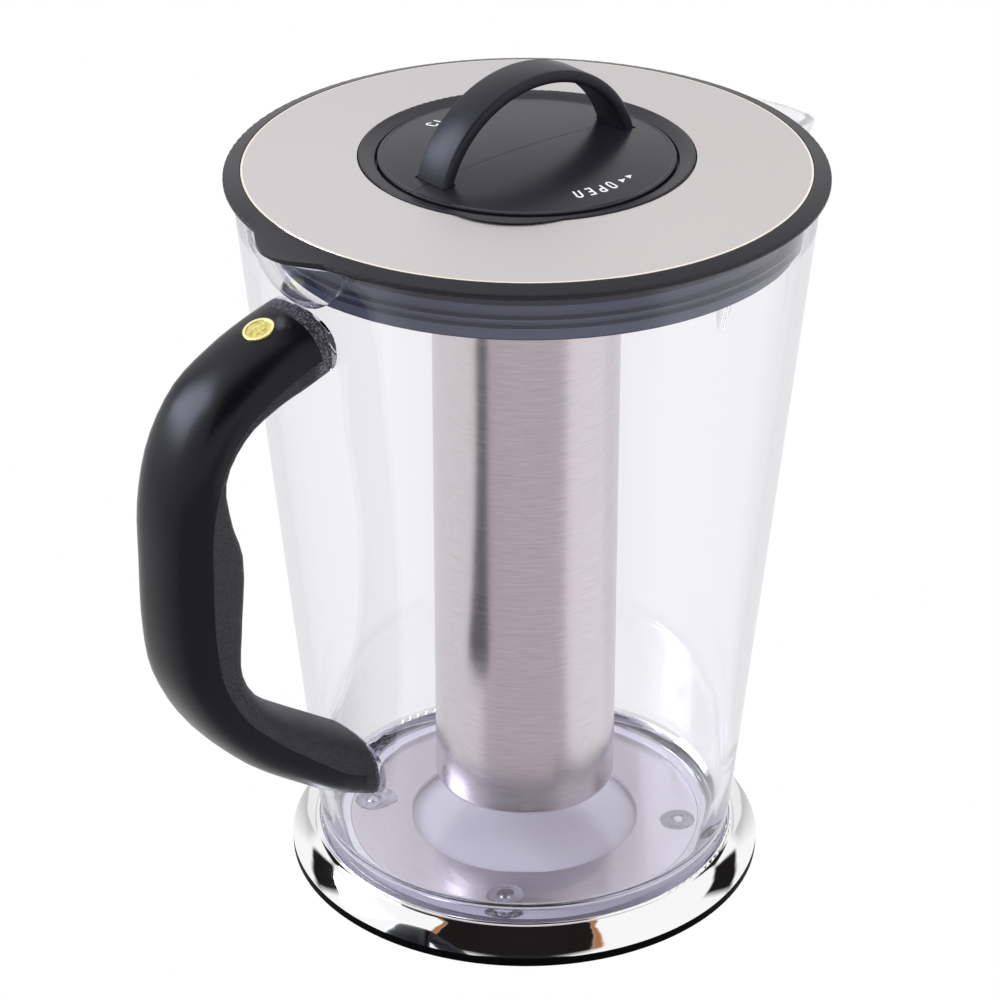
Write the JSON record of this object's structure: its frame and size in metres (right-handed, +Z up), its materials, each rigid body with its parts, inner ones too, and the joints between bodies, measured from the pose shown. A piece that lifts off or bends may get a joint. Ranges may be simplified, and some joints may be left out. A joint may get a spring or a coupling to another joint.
{
  "type": "pitcher with ice core",
  "caption": "Clear tapered water jug with a V spout, side handle, round lid and a lift-out steel ice core under a twist cap with an arch handle.",
  "frame": {"origin": "on the jug's axis, at the plane that it stands on", "axes": "+Z up along the jug's axis; -X towards the handle"},
  "size_m": [0.2199, 0.1594, 0.2356],
  "materials": {
    "clear_jug": "clear moulded plastic",
    "floor_steel": "brushed",
    "pale_plate": "matte",
    "bright_ring": "polished",
    "black_foot": "matte",
    "screw_steel": "satin",
    "frame_plastic": "matte",
    "black_gloss": "satin gloss",
    "grained_grip": "fine leather grain",
    "pale_badge": "satin",
    "lid_black": "satin",
    "lid_steel": "soft matte",
    "dark_liner": "satin",
    "blue_seal": "matte",
    "tube_steel": "fine horizontal brushing",
    "cap_black": "satin"
  },
  "bodies": {
    "jug": {"jug_body": "clear_jug", "floor_disc": "floor_steel", "base_plate": "pale_plate", "base_ring": "bright_ring", "foot_ring": "black_foot", "base_screws": "screw_steel", "handle_core": "frame_plastic", "handle_shell": "black_gloss", "handle_grip": "grained_grip", "handle_screws": "screw_steel", "handle_badge": "pale_badge"},
    "lid": {"lid_cover": "lid_black", "lid_plate": "lid_steel", "lid_neck": "dark_liner", "lid_seal": "blue_seal"},
    "ice_core": {"core_collar": "lid_black", "core_tube": "tube_steel", "core_gasket": "blue_seal"},
    "cap_ring": {"cap_gasket": "blue_seal"},
    "cap": {"cap_disc": "cap_black", "cap_handle": "cap_black", "cap_plug": "dark_liner", "cap_screws": "screw_steel"}
  },
  "joints": [
    {"name": "lid_lift", "type": "slide", "parent": "jug", "child": "lid", "axis": [0, 0, 1], "range_m": [0, 0.2]},
    {"name": "core_lift", "type": "slide", "parent": "lid", "child": "ice_core", "axis": [0, 0, 1], "range_m": [0, 0.2]},
    {"name": "cap_lift", "type": "slide", "parent": "ice_core", "child": "cap_ring", "axis": [0, 0, 1], "range_m": [0, 0.06]},
    {"name": "cap_twist", "type": "hinge", "parent": "cap_ring", "child": "cap", "pos_m": [0, 0, 0.209], "axis": [0, 0, 1], "range_deg": [0, 45]}
  ]
}
